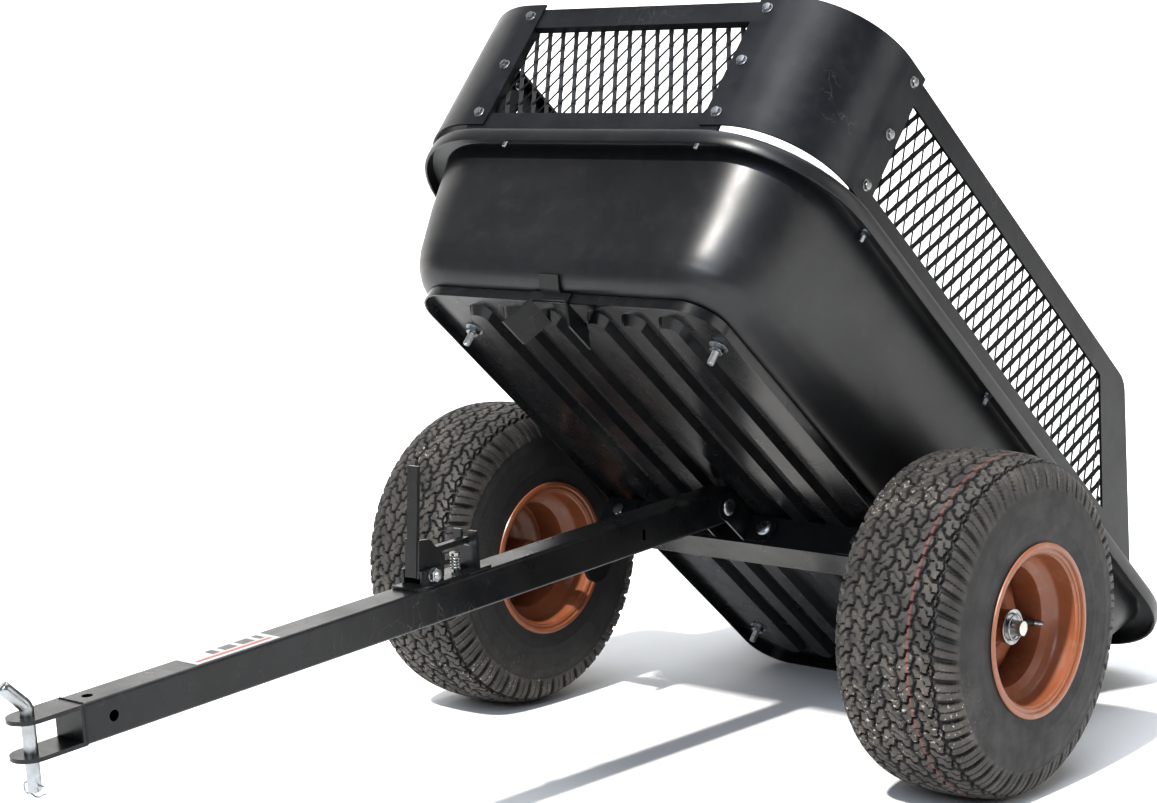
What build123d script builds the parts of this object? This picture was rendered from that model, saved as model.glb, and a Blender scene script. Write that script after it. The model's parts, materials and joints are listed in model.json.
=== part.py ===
from build123d import *
import os, math

os.makedirs("parts", exist_ok=True)

# ---------------------------------------------------------------- driving dimensions (mm)
TYRE_R = 228.6            # tyre outside radius (18 in tyre)
TRACK = 849.7             # wheel centre to wheel centre
TYRE_W = 185.0
RIM_FLANGE_R = 115.3
RIM_HALF = 94.3           # rim flange face from wheel mid plane
BEAD_R = 101.6            # 8 in bead seat
AXLE_R = 9.525            # 3/4 in stub axle
TUBE = 47.0               # square tongue tube
TUBE_T = 1.5
TILT = 40.57              # bed tilt in the tipped position
SLOPE = 3.46              # tongue slope
YS = 273.34               # places the row origin under the middle of the bounding box
BED_O = (0.0, -355.46 + YS, 664.404)
PIV_V, PIV_W = 460.5, -25.5      # tipping bolt in the bed's own frame
WHL_V, WHL_W = 553.4, -99.9      # wheel axis in the bed's own frame
TON_L = 1129.0            # tongue front end from the tipping bolt
TON_R = 20.0              # tongue rear end past the tipping bolt
PAN_HW, PAN_V1, PAN_CR = 256.8, 1021.5, 55.0
LIP_W = 218.0             # top of the tub lip
WALL = 8.0               # tub wall
FT = 4.0                 # side and front plate thickness
PANEL_TOP = 428.8
PANEL_U = 348.6           # outer face of the side panels
PANEL_V = -81.5           # outer face of the front panel
CORNER_R = 130.0
PIN_R = 7.94
HOLE_R = 6.5              # adjusting holes in the tongue

ct, st = math.cos(math.radians(TILT)), math.sin(math.radians(TILT))
BED = Pos(*BED_O) * Rot(-TILT, 0, 0)
PIV_Y = BED_O[1] + ct * PIV_V + st * PIV_W
PIV_Z = BED_O[2] - st * PIV_V + ct * PIV_W
TON = Pos(0, PIV_Y, PIV_Z) * Rot(SLOPE, 0, 0)


# ---------------------------------------------------------------- helpers
def bx(x0, x1, y0, y1, z0, z1):
    return Pos((x0 + x1) / 2, (y0 + y1) / 2, (z0 + z1) / 2) * Box(abs(x1 - x0), abs(y1 - y0), abs(z1 - z0))


def cx(x0, x1, y, z, r):
    return Pos((x0 + x1) / 2, y, z) * Rot(0, 90, 0) * Cylinder(r, abs(x1 - x0))


def cy(y0, y1, x, z, r):
    return Pos(x, (y0 + y1) / 2, z) * Rot(90, 0, 0) * Cylinder(r, abs(y1 - y0))


def cz(z0, z1, x, y, r):
    return Pos(x, y, (z0 + z1) / 2) * Cylinder(r, abs(z1 - z0))


def hexa(af, h):
    return extrude(RegularPolygon(af / math.sqrt(3), 6), amount=h)


def rr(hw, v0, v1, r, w):
    return Pos(0, (v0 + v1) / 2, w) * RectangleRounded(2 * hw, v1 - v0, r)


def prism(hw, v0, v1, r, w0, w1):
    return extrude(rr(hw, v0, v1, r, w0), amount=w1 - w0)


def poly_yz(pts, x0, x1):
    """prism along X from (y, z) points"""
    w = Wire.make_polygon([Vector(x0, a, b) for a, b in pts], close=True)
    return extrude(Face(w), amount=x1 - x0, dir=(1, 0, 0))


def solids(lst):
    return Compound(children=[s for p in lst for s in Part(p.wrapped if hasattr(p, "wrapped") else p).solids()]) if False else Compound([s for p in lst for s in p.solids()])


def mirror_x(p):
    return mirror(p, about=Plane.YZ)


def save(shape, name, place=None):
    s = shape if place is None else place * shape
    export_step(s, "parts/%s.step" % name)


def bolt_x(x_head, x_end, y, z, r, af, hh, nut_x=None, nut_h=None, carriage=False):
    """bolt along X; head sits outside x_head, shank runs to x_end"""
    sgn = 1 if x_head > x_end else -1
    out = cx(min(x_head, x_end), max(x_head, x_end), y, z, r)
    if carriage:
        head = cx(x_head, x_head + sgn * hh, y, z, af / 2)
    else:
        h = hexa(af, hh)
        head = Pos(x_head if sgn > 0 else x_head - hh, y, z) * Rot(0, 90, 0) * h
    res = [out + head]
    if nut_x is not None:
        n = Pos(nut_x, y, z) * Rot(0, 90, 0) * hexa(af if not carriage else af * 0.78, nut_h)
        n = n - cx(nut_x - 1, nut_x + nut_h + 1, y, z, r)
        res.append(n)
    return res


def bolt_z(z_head, z_end, x, y, r, af, hh, nut_z=None, nut_h=None):
    """bolt along Z, head on top at z_head"""
    res = [cz(z_end, z_head, x, y, r) + Pos(x, y, z_head) * hexa(af, hh)]
    if nut_z is not None:
        res.append(Pos(x, y, nut_z) * hexa(af, nut_h) - cz(nut_z - 1, nut_z + nut_h + 1, x, y, r))
    return res


def bolt_y(y_head, y_end, x, z, r, af, hh, nut_y=None, nut_h=None, carriage=False):
    """bolt along Y; the head is on the -Y side at y_head"""
    body = cy(y_head, y_end, x, z, r)
    if carriage:
        head = cy(y_head - hh, y_head, x, z, af / 2)
    else:
        head = Pos(x, y_head, z) * Rot(90, 0, 0) * hexa(af, hh)
    res = [body + head]
    if nut_y is not None:
        n = Pos(x, nut_y + nut_h, z) * Rot(90, 0, 0) * hexa(af * (0.78 if carriage else 1.0), nut_h)
        res.append(n - cy(nut_y - 1, nut_y + nut_h + 1, x, z, r))
    return res


# ================================================================ BED (modelled level, then tilted)
# ---- tub
def tub_sections(off):
    # half width, front, rear, corner radius, height
    S = [(250, 6, 1012, 68, 14.5), (262, -8, 1028, 75, 17.5), (277, -21, 1043, 82, 30.0), (288, -29, 1053, 88, 45.0),
         (297, -35, 1065, 95, 65.0), (333, -58, 1156, 130, 213.0)]
    out = []
    for i, (hw, v0, v1, r, w) in enumerate(S):
        ww = w
        if off and i == 0:
            ww = w + 5.0
        elif off and i < 5:
            ww = w + 3.0
        out.append((hw - off, v0 + off, v1 - off, r - off, ww))
    return out


def tub_body(off, top):
    secs = tub_sections(off)
    res = loft([rr(*s[:4], s[4]) for s in secs], ruled=True)
    hw, v0, v1, r, w = secs[-1]
    if top > w:
        res = res + prism(hw, v0, v1, r, w, top)
    return res


tub = tub_body(0, LIP_W)
tub = tub + prism(367.8, -88.8, 1193.8, 174, LIP_W - 5, LIP_W)
skirt = prism(367.8, -88.8, 1193.8, 174, LIP_W - 22, LIP_W - 4) - prism(362.8, -83.8, 1188.8, 169, LIP_W - 23, LIP_W - 4)
tub = tub + skirt
tub = tub - tub_body(WALL, LIP_W + 3)

LIP_BOLTS = [(-142, -71), (188, -71)] + [(s * 338.8, v) for s in (-1, 1) for v in (119, 494, 850)]
PAN_BOLTS = [(s * 214, v) for s in (-1, 1) for v in (97.5, 926)]
for (u, v) in LIP_BOLTS:
    tub = tub - cz(LIP_W - 8, LIP_W + 4, u, v, 3.4)
for (u, v) in PAN_BOLTS:
    tub = tub - cz(5, 30, u, v, 5.4)
save(tub, "tub", BED)

# ---- pressed base pan
pan = prism(PAN_HW, 0, PAN_V1, PAN_CR, 0, 14.5) - prism(PAN_HW - 2.5, 2.5, PAN_V1 - 2.5, PAN_CR - 2.5, -1, 12)
RIBS = (-166, -104, -42, 42, 104, 166)
for u in RIBS:
    o = loft([Pos(u, 510, 0) * RectangleRounded(28, 930, 12), Pos(u, 510, 12.5) * RectangleRounded(40, 950, 18)], ruled=True)
    pan = pan + o
for u in RIBS:
    i = loft([Pos(u, 510, 2.5) * RectangleRounded(24.4, 925.6, 10), Pos(u, 510, 14.501) * RectangleRounded(36.0, 945.4, 16)], ruled=True)
    pan = pan - i
for (u, v) in PAN_BOLTS:
    pan = pan - cz(5, 30, u, v, 5.4)
save(pan, "base_pan", BED)

pb = []
for (u, v) in PAN_BOLTS:
    pb += bolt_z(14.5 + WALL, -16.0, u, v, 5.0, 17, 6.0, 3.5, 8.5)
save(solids(pb), "pan_bolts", BED)

lb = []
for (u, v) in LIP_BOLTS:
    lb += bolt_z(LIP_W + FT, LIP_W - 21.0, u, v, 3.0, 10, 4.0, LIP_W - 11.5, 6.5)
save(solids(lb), "rail_bolts", BED)

# ---- panel frames
LEG = 12.0   # depth of the return round the front window


def round_poly_face(pts, x):
    w = Wire.make_polygon([Vector(x, a, b) for a, b in pts], close=True)
    return Face(w)


WFH, WF0, WF1 = 190.0, 247.0, 396.0
front = bx(-218, 218, PANEL_V, PANEL_V + FT, LIP_W, PANEL_TOP)
front = front + (bx(-WFH - FT, WFH + FT, PANEL_V, PANEL_V + LEG, WF0 - FT, WF1 + FT))
front = front - bx(-WFH, WFH, PANEL_V - 5, PANEL_V + LEG + 5, WF0, WF1)
front = front + bx(-218, 218, PANEL_V, PANEL_V + 25, LIP_W, LIP_W + FT) + bx(-218, 218, PANEL_V, PANEL_V + 22, PANEL_TOP - FT, PANEL_TOP)
CB_F = [(s * 206, w) for s in (-1, 1) for w in (246, 329, 415)]
CB_S = [(s, 68.0, w) for s in (-1, 1) for w in (249, 330, 415)]
for (u, w) in CB_F:
    front = front - cy(PANEL_V - 5, PANEL_V + 8, u, w, 3.4)
for (u, v) in LIP_BOLTS[:2]:
    front = front - cz(LIP_W - 2, LIP_W + 8, u, v, 3.4)
save(front, "front_panel_frame", BED)

SIDE_OUT = [(49, LIP_W), (980, LIP_W), (776, PANEL_TOP), (49, PANEL_TOP)]
SIDE_WIN = [(92, 250), (847, 250), (713, 395), (92, 395)]


def side_frame():
    p = poly_yz(SIDE_OUT, PANEL_U - FT, PANEL_U)
    ve = [e for e in p.edges().filter_by(Axis.X) if e.center().Z > 400 and e.center().Y > 700]
    p = fillet(ve, 40)
    p = p + bx(PANEL_U - 22, PANEL_U, 49, 740, PANEL_TOP - FT, PANEL_TOP)
    p = p - poly_yz(SIDE_WIN, PANEL_U - FT - 2, PANEL_U + 4)
    p = p + bx(PANEL_U - 25, PANEL_U, 49, 975, LIP_W, LIP_W + FT)
    for v in (119, 494, 850):
        p = p - cz(LIP_W - 2, LIP_W + 8, 338.8, v, 3.4)
    for w in (249, 330, 415):
        p = p - cx(PANEL_U - 8, PANEL_U + 5, 68, w, 3.4)
    return p


sf = side_frame()
save(sf, "side_panel_frame_left", BED)
save(mirror_x(sf), "side_panel_frame_right", BED)

# ---- expanded metal
PITCH, DIA_H, STR = 24.0, 48.0, 5.0


def diamond_wires(a0, a1, b0, b1, inside, mk):
    """diamonds on a (a, b) plane, long way along b"""
    ws = []
    hw = PITCH / 2 - STR * 0.5 * 1.1
    hh = DIA_H / 2 - STR * 0.5 * 2.2
    n = int((a1 - a0) / PITCH) + 2
    m = int((b1 - b0) / (DIA_H / 2)) + 3
    for j in range(m):
        b = b0 + j * DIA_H / 2
        for i in range(-1, n):
            a = a0 + i * PITCH + (PITCH / 2 if j % 2 else 0)
            pts = [(a - hw, b), (a, b - hh), (a + hw, b), (a, b + hh)]
            if all(inside(*q) for q in pts):
                ws.append(mk(pts))
    return ws


def front_mesh():
    v = PANEL_V + LEG
    mk = lambda pts: Wire.make_polygon([Vector(a, v, b) for a, b in pts], close=True)
    outer = mk([(-193, 244), (193, 244), (193, 399), (-193, 399)])
    ins = lambda a, b: abs(a) < 190 and 246.5 < b < 396.5
    f = Face(outer, diamond_wires(-192, 192, 249.5, 396, ins, mk))
    return extrude(f, amount=2.5, dir=(0, 1, 0))


def side_mesh():
    u = PANEL_U - FT
    mk = lambda pts: Wire.make_polygon([Vector(u, a, b) for a, b in pts], close=True)
    outer = mk([(89, 247), (849.5, 247), (716, 398), (89, 398)])

    def ins(a, b):
        lim = 847 + (713 - 847) * (b - 250) / 145.0
        return a > 91 and 249.5 < b < 396.5 and a < lim - 0.5
    f = Face(outer, diamond_wires(90, 850, 250, 396, ins, mk))
    return extrude(f, amount=2.5, dir=(-1, 0, 0))


save(front_mesh(), "front_mesh", BED)
sm = side_mesh()
save(sm, "side_mesh_left", BED)
save(mirror_x(sm), "side_mesh_right", BED)


# ---- rolled corner plates
def corner():
    o = PANEL_U + 2.5
    w0, w1 = LIP_W + 8, PANEL_TOP + 7
    ring = prism(o, PANEL_V - 2.5, 1500, CORNER_R + 2.5, w0, w1) - prism(PANEL_U, PANEL_V, 1600, CORNER_R, w0 - 1, w1 + 1)
    c = ring & bx(188, 400, -120, 88, 200, 460)
    for w in (246, 329, 415):
        c = c - cy(PANEL_V - 8, PANEL_V + 8, 206, w, 3.4)
    for w in (249, 330, 415):
        c = c - cx(PANEL_U - 8, PANEL_U + 8, 68, w, 3.4)
    return c


cp = corner()
save(cp, "corner_plate_left", BED)
save(mirror_x(cp), "corner_plate_right", BED)
cb = []
for (u, w) in CB_F:
    cb += bolt_y(PANEL_V - 2.5, PANEL_V + 16, u, w, 3.0, 11, 4.0, PANEL_V + FT, 5.0)
for (s, v, w) in CB_S:
    if s > 0:
        cb += bolt_x(PANEL_U + 2.5, PANEL_U - 16, v, w, 3.0, 11, 4.0, PANEL_U - FT - 5.0, 5.0)
    else:
        cb += bolt_x(-PANEL_U - 2.5, -PANEL_U + 16, v, w, 3.0, 11, 4.0, -PANEL_U + FT, 5.0)
save(solids(cb), "corner_bolts", BED)

# ---- axle beam (open channel) and its brackets
BV0, BV1, BW0, BW1, BT = 524.0, 584.0, -46.0, 0.0, 4.0
BEAM_HL = 238.0
beam = bx(-BEAM_HL, BEAM_HL, BV0, BV1, BW0, BW1) - bx(-BEAM_HL - 1, BEAM_HL + 1, BV0 + BT, BV1 + 1, BW0 + BT, BW1 - BT)
for s in (-1, 1):
    beam = beam - cy(BV0 - 2, BV0 + 8, s * 52, -20, 6.4)
    beam = beam - cy(BV0 - 2, BV0 + 8, s * 214, -23, 5.4)
save(beam, "axle_beam", BED)


def pivot_bracket():
    x0, x1 = TUBE / 2 + 0.5, TUBE / 2 + 4.5
    p = bx(x0, x1, PIV_V, BV0, PIV_W - 18, PIV_W + 18) + cx(x0, x1, PIV_V, PIV_W, 20)
    f = bx(x0, 52, BV0 - 4, BV0, -42, -2) + cy(BV0 - 4, BV0, 52, -22, 20)
    p = p + f
    p = p - cx(x0 - 2, x1 + 2, PIV_V, PIV_W, 6.2)
    p = p - cy(BV0 - 8, BV0 + 2, 52, -20, 6.4)
    return p


pbk = pivot_bracket()
save(pbk, "pivot_bracket_left", BED)
save(mirror_x(pbk), "pivot_bracket_right", BED)
xo = TUBE / 2 + 4.5
save(solids([cx(-xo - 12, xo, PIV_V, PIV_W, 6.0) + cx(xo, xo + 5, PIV_V, PIV_W, 12.5)]), "pivot_bolt", BED)
save(Pos(-xo - 9, PIV_V, PIV_W) * Rot(0, 90, 0) * hexa(19, 9) - cx(-xo - 10, -xo + 1, PIV_V, PIV_W, 6.0), "pivot_nut", BED)
bb = []
for s in (-1, 1):
    bb += bolt_y(BV0 - 4, BV0 + 20, s * 52, -20, 6.0, 25, 5.0, BV0 + BT, 9.0, carriage=True)
save(solids(bb), "bracket_bolts", BED)


# ---- hangers and stub axles
def hanger():
    p = bx(238, 244, BV0 - 4, BV1, -70, -1) + bx(238, 244, WHL_V - 26, WHL_V + 26, WHL_W, -60) + cx(238, 244, WHL_V, WHL_W, 26)
    p = p + bx(186, 240, BV0 - 4, BV0, -44, -2)
    p = p + poly_yz([(BV0 + 0.5, -47), (BV1 - 1, -47), (WHL_V + 16, -86), (WHL_V - 16, -86)], 230, 238)
    p = p - cy(BV0 - 8, BV0 + 2, 214, -23, 5.4)
    return p


hg = hanger()
save(hg, "axle_hanger_left", BED)
save(mirror_x(hg), "axle_hanger_right", BED)
hb = []
for s in (-1, 1):
    hb += bolt_y(BV0 - 4, BV0 + 18, s * 214, -23, 5.0, 17, 6.5, BV0 + BT, 8.0)
save(solids(hb), "hanger_bolts", BED)

XC = TRACK / 2
HUB0, HUB1 = XC - 50.0, XC + 49.0
AX_END = 493.0
LP_X = HUB1 + 0.3 + 3.0 + 3.75
# linch pin direction in the bed's frame (radial from the axle)
LP_A = math.radians(5.0)
d_v, d_w = math.cos(LP_A), math.sin(LP_A)


def linch_frame():
    # local X -> row X, local Z -> radial direction
    return Pos(LP_X, WHL_V, WHL_W) * Rot(-(90 - math.degrees(LP_A)), 0, 0)


LF = linch_frame()
stub = cx(244, HUB0 - 0.25, WHL_V, WHL_W, 15) + cx(HUB0 - 1, AX_END, WHL_V, WHL_W, AXLE_R)
stub = stub - LF * cz(-20, 20, 0, 0, 3.4)
save(stub, "stub_axle_left", BED)
save(mirror_x(stub), "stub_axle_right", BED)
wash = cx(HUB1 + 0.3, HUB1 + 3.3, WHL_V, WHL_W, 24) - cx(HUB1 - 1, HUB1 + 5, WHL_V, WHL_W, AXLE_R + 0.1)
save(wash, "axle_washer_left", BED)
save(mirror_x(wash), "axle_washer_right", BED)
linch = cz(-14, 12, 0, 0, 3.25) + cz(11, 22, 0, 0, 3.6) - cy(-8, 8, 0, 17, 1.85)
save(LF * linch, "linch_pin_left", BED)
save(mirror_x(LF * linch), "linch_pin_right", BED)
ring = Rot(0, 90, 0) * Torus(17.0, 1.25)
save(LF * ring, "linch_ring_left", BED)
save(mirror_x(LF * ring), "linch_ring_right", BED)


# ---- wheels
def revolve_x(pts_face):
    return revolve(pts_face, axis=Axis.X, revolution_arc=360)


def prof(pts):
    w = Wire.make_polygon([Vector(a, 0, b) for a, b in pts], close=True)
    return Face(w)


def tyre():
    h = TYRE_W / 2
    o = [(91.0, BEAD_R), (91.0, 115.8), (h - 0.5, 128.0), (h, 150.0), (h - 0.8, 170.0), (h * 0.96, TYRE_R - 38), (h * 0.84, TYRE_R - 14),
         (h * 0.60, TYRE_R - 4.0), (h * 0.3, TYRE_R - 1.0), (0, TYRE_R)]
    i = [(0, TYRE_R - 13), (h * 0.6, TYRE_R - 17), (h * 0.80, TYRE_R - 30), (h * 0.88, TYRE_R - 55), (h * 0.89, 150), (h * 0.86, 125), (74.0, 112.0), (72.0, BEAD_R)]
    pts = o + i
    left = [(-a, b) for a, b in reversed(pts) if a > 0 or False]
    full = [p for p in o] + [(-a, b) for a, b in reversed(o[:-1])] + [(-a, b) for a, b in reversed(i[1:])] + [(0, TYRE_R - 13)] + i[1:]
    return revolve_x(prof(full))


def rim():
    t = 3.0
    o = [(RIM_HALF, RIM_FLANGE_R - 3.0), (RIM_HALF - 3.3, RIM_FLANGE_R), (RIM_HALF - 3.3, BEAD_R), (62, BEAD_R), (48, 82.0), (0, 82.0)]
    outer = o + [(-a, b) for a, b in reversed(o[:-1])]
    inn = [(RIM_HALF, RIM_FLANGE_R - 6.0), (RIM_HALF - 3.6, 98.6), (61, 98.6), (47, 79.0), (0, 79.0)]
    inner = [(-a, b) for a, b in inn[:-1]] + [(0, 79.0)] + [(a, b) for a, b in reversed(inn[:-1])]
    barrel = revolve_x(prof(outer + inner))
    disc = [(6, 81.0), (9.2, 81.0), (10.5, 70), (24.0, 52.0), (27.0, 22.0), (24.0, 22.0), (21.0, 50.5), (7.5, 68.5)]
    return barrel + revolve_x(prof(disc))


def hub():
    h = prof([(-50, 22), (49, 22), (49, 17.5), (34, 17.5), (34, 15.5), (-35, 15.5), (-35, 17.5), (-50, 17.5)])
    return revolve_x(h)


def bearings():
    a = revolve_x(prof([(-50, AXLE_R + 0.06), (-50, 17.5), (-35, 17.5), (-35, AXLE_R + 0.06)]))
    b = revolve_x(prof([(34, AXLE_R + 0.06), (34, 17.5), (49, 17.5), (49, AXLE_R + 0.06)]))
    return solids([a, b])


def valve():
    # leans out of the disc side of the barrel
    v = Pos(30, 0, 70) * Rot(0, 52, 0) * (Cylinder(5.5, 18) + Pos(0, 0, 13) * Cylinder(3.8, 16))
    return v


W_L = BED * Pos(XC, WHL_V, WHL_W)
MIR = lambda p: mirror_x(p)
ty, rm, hu, be = tyre(), rim(), hub(), bearings()
VA = Rot(TILT, 0, 0) * Rot(-98, 0, 0)          # valve stands to the rear, a little below level
va = VA * valve()
va = va - rm
rmv = rm
save(ty, "tyre_left", W_L)
save(rmv, "rim_left", W_L)
save(hu, "hub_left", W_L)
save(be, "bearings_left", W_L)
save(va, "valve_left", W_L)
W_R = BED * Pos(-XC, WHL_V, WHL_W)
save(MIR(ty), "tyre_right", W_R)
save(MIR(rmv), "rim_right", W_R)
save(MIR(hu), "hub_right", W_R)
save(MIR(be), "bearings_right", W_R)
save(MIR(va), "valve_right", W_R)

# ---- front striker of the pan: tab, back plate and two flared guides
stk = poly_yz([(-0.5, 1), (-0.5, 14.0), (-9.3, 16.2), (-22.3, 28.9), (-24.6, 26.6), (-11.2, 13.2), (-4, 11.4), (-4, 1)], -17, 17)
stk = stk + bx(-34, 34, -4, -0.5, 1, 13)
for s in (-1, 1):
    f = Wire.make_polygon([Vector(s * 28, -4, 2), Vector(s * 31.5, -4, 2), Vector(s * 60, -4, -38), Vector(s * 56, -4, -38)], close=True)
    stk = stk + extrude(Face(f), amount=52, dir=(0, 1, 0)) - bx(s * 20, s * 70, -0.5, 60, -0.5, 40)
save(stk, "latch_striker", BED)

# ================================================================ TONGUE (own frame, origin at the tipping bolt)
H = TUBE / 2
tube = bx(-H, H, -TON_L, TON_R, -H, H)
tube = fillet(tube.edges().filter_by(Axis.Y), 4.0)
tube_in = bx(-H + TUBE_T, H - TUBE_T, -TON_L - 1, TON_R + 1, -H + TUBE_T, H - TUBE_T)
tube_in = fillet(tube_in.edges().filter_by(Axis.Y), 2.0)
tube = tube - tube_in
tube = tube - cx(-H - 1, H + 1, 0, 0, 9.0)
tube = tube - cx(-H - 1, H + 1, -1091, 0, HOLE_R) - cz(-H - 1, H + 1, 0, -1107, HOLE_R)
# small slot in the left wall
tube = tube - (bx(H - 4, H + 1, -184, -178, -5, 5) + cx(H - 4, H + 1, -181, 5, 3) + cx(H - 4, H + 1, -181, -5, 3))
save(tube, "tongue_tube", TON)
save(cx(-H, H, 0, 0, 9.0) - cx(-H - 1, H + 1, 0, 0, 6.05), "tongue_bushing", TON)

# hitch clevis
PIN_Y = -1188.0
ear = bx(-H, H, PIN_Y, -TON_L - 5, H - 5, H) + cz(H - 5, H, 0, PIN_Y, H)
cle = ear + mirror(ear, about=Plane.XY) + bx(-H, H, -TON_L - 6, -TON_L, -H, H)
cle = cle - cz(-H - 1, H + 1, 0, PIN_Y, PIN_R + 0.08)
save(cle, "hitch_clevis", TON)

# hitch pin with a bent grip
bend = H + PIN_R + 2.5
pin = cz(-62, bend, 0, PIN_Y, PIN_R) + Pos(0, PIN_Y, bend) * Sphere(PIN_R)
grip = Pos(0, PIN_Y, bend) * Rot(0, -20, 0) * Rot(38, 0, 0) * cz(0, 36, 0, 0, PIN_R)
pin = pin + grip
pin = pin - cx(-12, 12, PIN_Y, -54, 1.7)
save(pin, "hitch_pin", TON)

# wire R clip
def rod(pts, r):
    out = None
    for p, q in zip(pts[:-1], pts[1:]):
        d = Vector(*q) - Vector(*p)
        c = extrude(Plane(origin=p, z_dir=d) * Circle(r), amount=d.length)
        out = c if out is None else out + c
    for p in pts[1:-1]:
        out = out + Pos(*p) * Sphere(r)
    return out


clip = rod([(16, PIN_Y, -54), (-14, PIN_Y, -54), (-19, PIN_Y, -58), (-19, PIN_Y, -63), (-13, PIN_Y, -67), (-9, PIN_Y, -65),
            (-5, PIN_Y, -67), (4, PIN_Y, -67.5), (10, PIN_Y, -65), (17, PIN_Y, -62)], 1.3)
save(clip, "pin_clip", TON)

# label
save(bx(-19, 19, -965, -838, H, H + 0.4), "tongue_label", TON)

# latch bracket, lever, bolt, spring
LY, LZ = -580.0, 38.0
br = bx(-20, 20, -615, -478, H, H + 4)
for s in (-1, 1):
    lug = bx(s * 14, s * 18, -600, -562, H + 3, LZ + 8)
    br = br + lug
br = br + bx(-20, 20, -502, -498, H + 3, 76)
br = br - bx(-6.5, 6.5, -506, -494, 56, 90)
br = br - cx(-22, 22, LY, LZ, 5.15)
save(br, "latch_bracket", TON)

lev = Pos(0, -599, 30) * Rot(-6.9, 0, 0) * bx(-8.5, 8.5, -2.5, 2.5, 6.5, 146)
gus = poly_yz([(-600, 36), (-590, 32.5), (-580, 29.5), (-556, 29.5), (-552, 56), (-578, 82), (-594, 84)], 8.5, 12.5)
gus2 = mirror_x(gus)
arm = bx(-12.5, 12.5, -574, -552, 50, 55) + bx(-5, 5, -560, -500, 60, 67) + bx(-5, 5, -566, -556, 50, 67)
lev = lev + gus + gus2 + arm
lev = lev - cx(-22, 22, LY, LZ, 5.1)
save(lev, "latch_lever", TON)
save(solids([cx(-22, 26, LY, LZ, 5.05) + Pos(-28, LY, LZ) * Rot(0, 90, 0) * hexa(14, 6),
             Pos(18, LY, LZ) * Rot(0, 90, 0) * hexa(16, 7.5) - cx(17, 27, LY, LZ, 5.05)]), "latch_bolt", TON)
hx = Helix(pitch=4.0, height=16.0, radius=5.5, center=(0, -522, H + 5.2))
sp = sweep(Plane(origin=hx @ 0, z_dir=hx % 0) * Circle(1.0), path=hx, is_frenet=True)
post = cz(H + 4, H + 24, 0, -522, 3.0) + cz(H + 24, H + 28, 0, -522, 6.5)
save(sp, "latch_spring", TON)
save(post, "latch_post", TON)
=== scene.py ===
import bpy, bmesh, math, json, random
import numpy as np
from mathutils import Vector, Matrix


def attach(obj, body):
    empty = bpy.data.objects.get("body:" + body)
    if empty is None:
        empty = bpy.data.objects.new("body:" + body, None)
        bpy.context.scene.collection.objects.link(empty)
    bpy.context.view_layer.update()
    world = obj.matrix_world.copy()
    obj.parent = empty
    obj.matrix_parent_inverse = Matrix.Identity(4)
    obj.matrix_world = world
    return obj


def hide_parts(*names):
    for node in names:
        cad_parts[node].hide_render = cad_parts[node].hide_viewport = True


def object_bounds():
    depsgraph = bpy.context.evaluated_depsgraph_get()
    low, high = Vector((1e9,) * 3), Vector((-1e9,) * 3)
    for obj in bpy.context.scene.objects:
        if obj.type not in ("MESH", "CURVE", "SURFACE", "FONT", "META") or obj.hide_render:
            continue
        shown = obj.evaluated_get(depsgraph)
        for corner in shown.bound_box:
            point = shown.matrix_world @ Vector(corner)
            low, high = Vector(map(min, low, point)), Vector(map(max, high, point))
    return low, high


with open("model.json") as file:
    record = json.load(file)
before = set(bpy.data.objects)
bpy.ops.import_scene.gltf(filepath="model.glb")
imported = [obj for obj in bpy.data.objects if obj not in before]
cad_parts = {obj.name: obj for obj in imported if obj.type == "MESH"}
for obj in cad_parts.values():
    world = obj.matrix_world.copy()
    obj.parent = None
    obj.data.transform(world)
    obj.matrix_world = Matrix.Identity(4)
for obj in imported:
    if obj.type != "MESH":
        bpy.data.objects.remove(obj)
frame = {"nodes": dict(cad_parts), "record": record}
B0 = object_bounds()
NODES = frame["nodes"]
random.seed(7)
RNG = np.random.default_rng(11)

# ------------------------------------------------------------------ shared geometry of the model (mm)
YS = 273.34
TILT = math.radians(40.57)
SLOPE = math.radians(3.46)
BO = Vector((0, -355.46 + YS, 664.404))
PV, PW = 460.5, -25.5
WV, WW = 553.4, -99.9
TYRE_R = 228.6
TRACK = 849.7
BED = Matrix.Translation(BO) @ Matrix.Rotation(-TILT, 4, "X")
PIV = BED @ Vector((0, PV, PW))
TON = Matrix.Translation(PIV) @ Matrix.Rotation(SLOPE, 4, "X")
MM = Matrix.Scale(0.001, 4)
H = 23.5


# ------------------------------------------------------------------ materials
def new_mat(name):
    m = bpy.data.materials.new(name)
    m.use_nodes = True
    nt = m.node_tree
    b = nt.nodes["Principled BSDF"]
    return m, nt, b


def noise(nt, scale, detail=6.0, rough=0.55, coord="Object", dist=0.0, vec=None):
    n = nt.nodes.new("ShaderNodeTexNoise")
    n.inputs["Scale"].default_value = scale
    n.inputs["Detail"].default_value = detail
    n.inputs["Roughness"].default_value = rough
    n.inputs["Distortion"].default_value = dist
    if vec is None:
        tc = nt.nodes.new("ShaderNodeTexCoord")
        nt.links.new(tc.outputs[coord], n.inputs["Vector"])
    else:
        nt.links.new(vec, n.inputs["Vector"])
    return n.outputs["Fac"]


def ramp(nt, src, stops):
    r = nt.nodes.new("ShaderNodeValToRGB")
    el = r.color_ramp.elements
    el[0].position, el[0].color = stops[0][0], stops[0][1]
    el[1].position, el[1].color = stops[-1][0], stops[-1][1]
    for p, c in stops[1:-1]:
        e = el.new(p)
        e.color = c
    nt.links.new(src, r.inputs["Fac"])
    return r.outputs["Color"]


def g(v):
    return (v, v, v, 1)


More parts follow.
